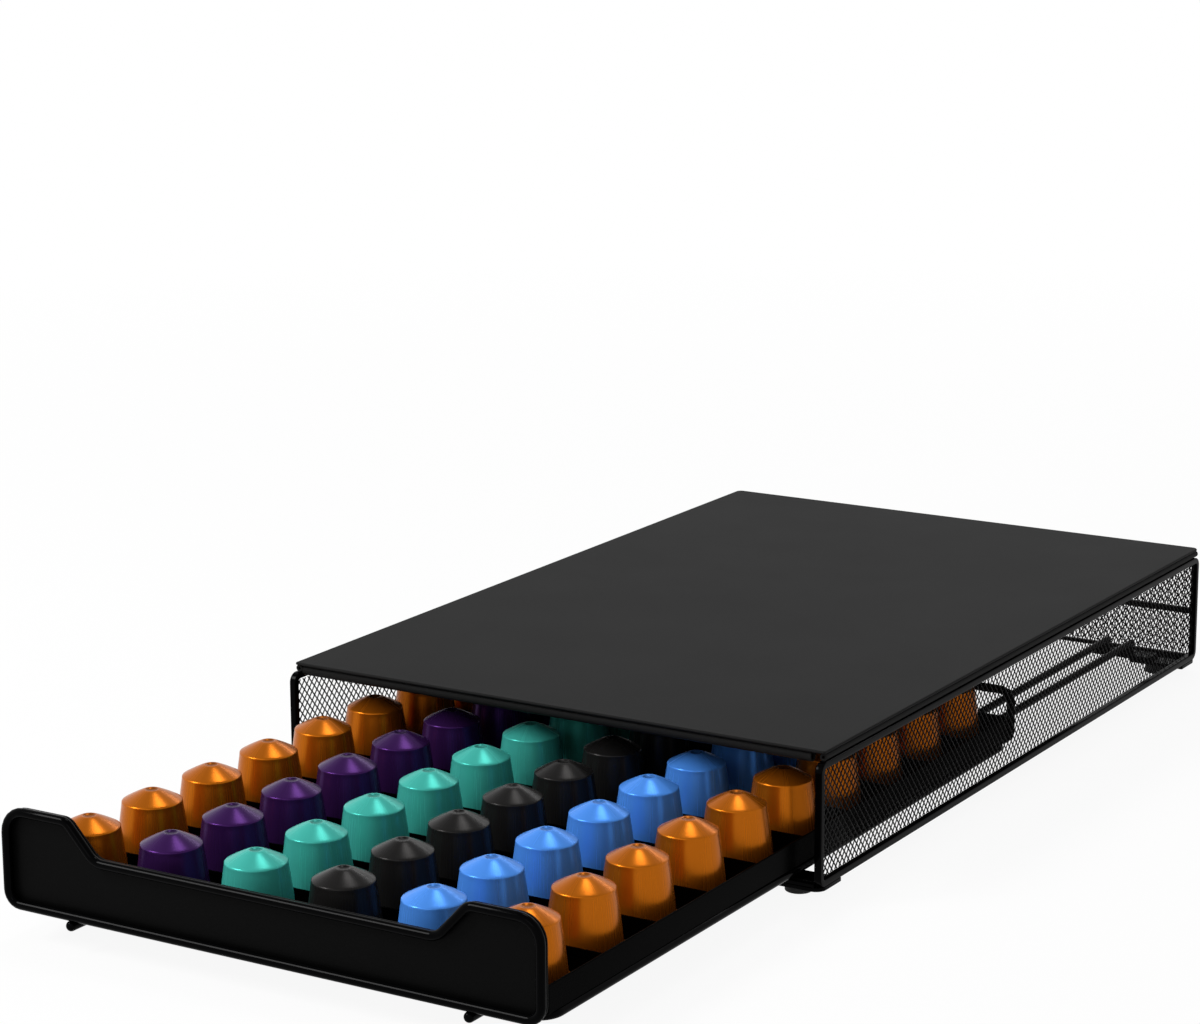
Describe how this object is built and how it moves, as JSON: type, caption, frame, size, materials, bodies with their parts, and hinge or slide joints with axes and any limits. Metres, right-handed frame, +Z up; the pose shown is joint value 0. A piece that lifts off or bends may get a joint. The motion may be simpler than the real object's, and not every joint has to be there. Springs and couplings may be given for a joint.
{
  "type": "coffee pod drawer",
  "caption": "Low black metal stand with a flat deck, expanded-metal sides and a sliding wire-framed drawer whose sheet tray is parted into cells for upright coffee pods.",
  "frame": {"origin": "on the ground under the middle of the whole object's box, with the drawer standing part open as in the picture", "axes": "+X to the right seen from the front, +Y from the drawer's front towards the back, +Z up; the drawer opens along -Y"},
  "size_m": [0.271, 0.6194, 0.065],
  "materials": {
    "deck_black": "satin",
    "frame_black": "gloss",
    "mesh_black": "satin",
    "sheet_black": "satin",
    "foot_rubber": "matte",
    "pod_orange": "satin",
    "pod_purple": "satin",
    "pod_teal": "satin",
    "pod_charcoal": "satin",
    "pod_blue": "satin"
  },
  "bodies": {
    "housing": {"top_deck": "deck_black", "side_frame_left": "frame_black", "side_frame_right": "frame_black", "side_mesh_left": "mesh_black", "side_mesh_right": "mesh_black", "front_bottom_rail": "frame_black", "rear_bottom_rail": "frame_black", "rear_stop_bar": "frame_black", "rear_mesh": "mesh_black", "corner_plate_front_left": "frame_black", "corner_plate_front_right": "frame_black", "corner_plate_rear_left": "frame_black", "corner_plate_rear_right": "frame_black", "rubber_foot_front_left": "foot_rubber", "rubber_foot_front_right": "foot_rubber", "rubber_foot_rear_left": "foot_rubber", "rubber_foot_rear_right": "foot_rubber", "track_rod_left_outer": "frame_black", "track_rod_left_inner": "frame_black", "track_rod_right_inner": "frame_black", "track_rod_right_outer": "frame_black", "track_tie_front_left": "frame_black", "track_tie_front_right": "frame_black", "track_tie_rear_left": "frame_black", "track_tie_rear_right": "frame_black"},
    "drawer": {"front_frame": "frame_black", "front_panel": "sheet_black", "back_frame": "frame_black", "bottom_frame": "frame_black", "tray": "sheet_black", "cross_dividers": "sheet_black", "lengthwise_dividers": "sheet_black", "runner_left": "frame_black", "runner_right": "frame_black", "runner_keeper_left": "frame_black", "runner_keeper_right": "frame_black", "pods_orange_left": "pod_orange", "pods_purple": "pod_purple", "pods_teal": "pod_teal", "pods_charcoal": "pod_charcoal", "pods_blue": "pod_blue", "pods_orange_right": "pod_orange"}
  },
  "joints": [
    {"name": "drawer_slide", "type": "slide", "parent": "housing", "child": "drawer", "axis": [0, -1, 0], "range_m": [-0.2036, 0.0964]}
  ]
}
